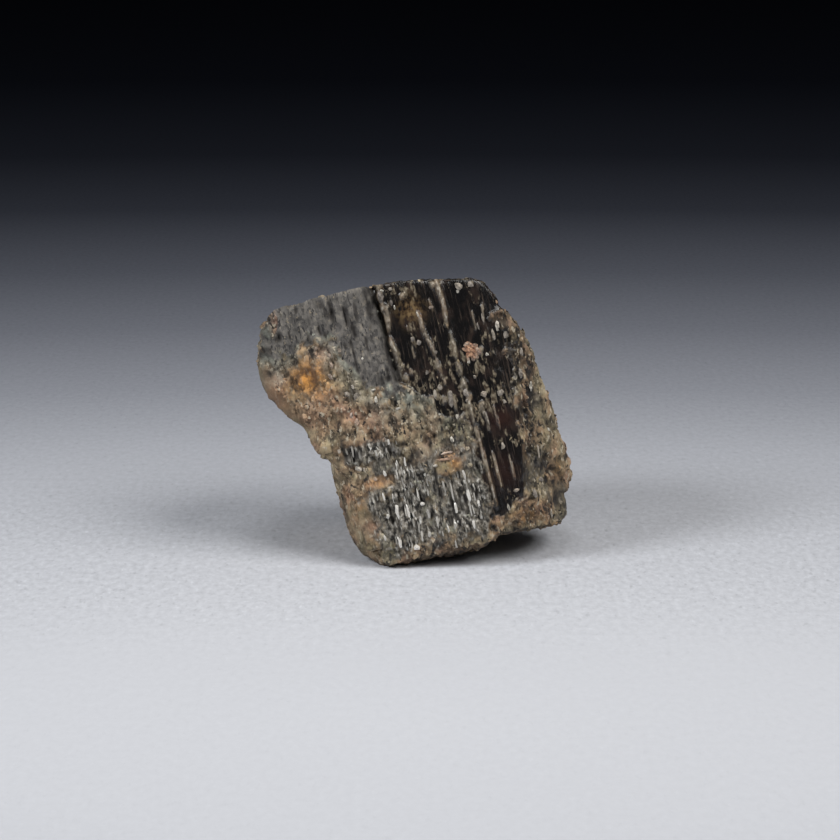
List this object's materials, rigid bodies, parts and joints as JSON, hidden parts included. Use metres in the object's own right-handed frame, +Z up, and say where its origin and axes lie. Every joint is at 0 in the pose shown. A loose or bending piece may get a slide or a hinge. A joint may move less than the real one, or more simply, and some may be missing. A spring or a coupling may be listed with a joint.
{
  "type": "baddeleyite crystal",
  "caption": "Thick tabular baddeleyite crystal with a striated dark front, a raised grey sheet, tan and ochre crust and a broken lower end that it stands on.",
  "frame": {"origin": "centre of the crystal's bounding box in plan, at the level of the face that it stands on", "axes": "+X to the right across the broad striated front, +Y from the front to the back, +Z up"},
  "size_m": [0.0141, 0.0092, 0.0123],
  "materials": {
    "crystal": "dull to submetallic, striated, partly crusted"
  },
  "bodies": {
    "root": {"crystal": "crystal"}
  },
  "joints": []
}
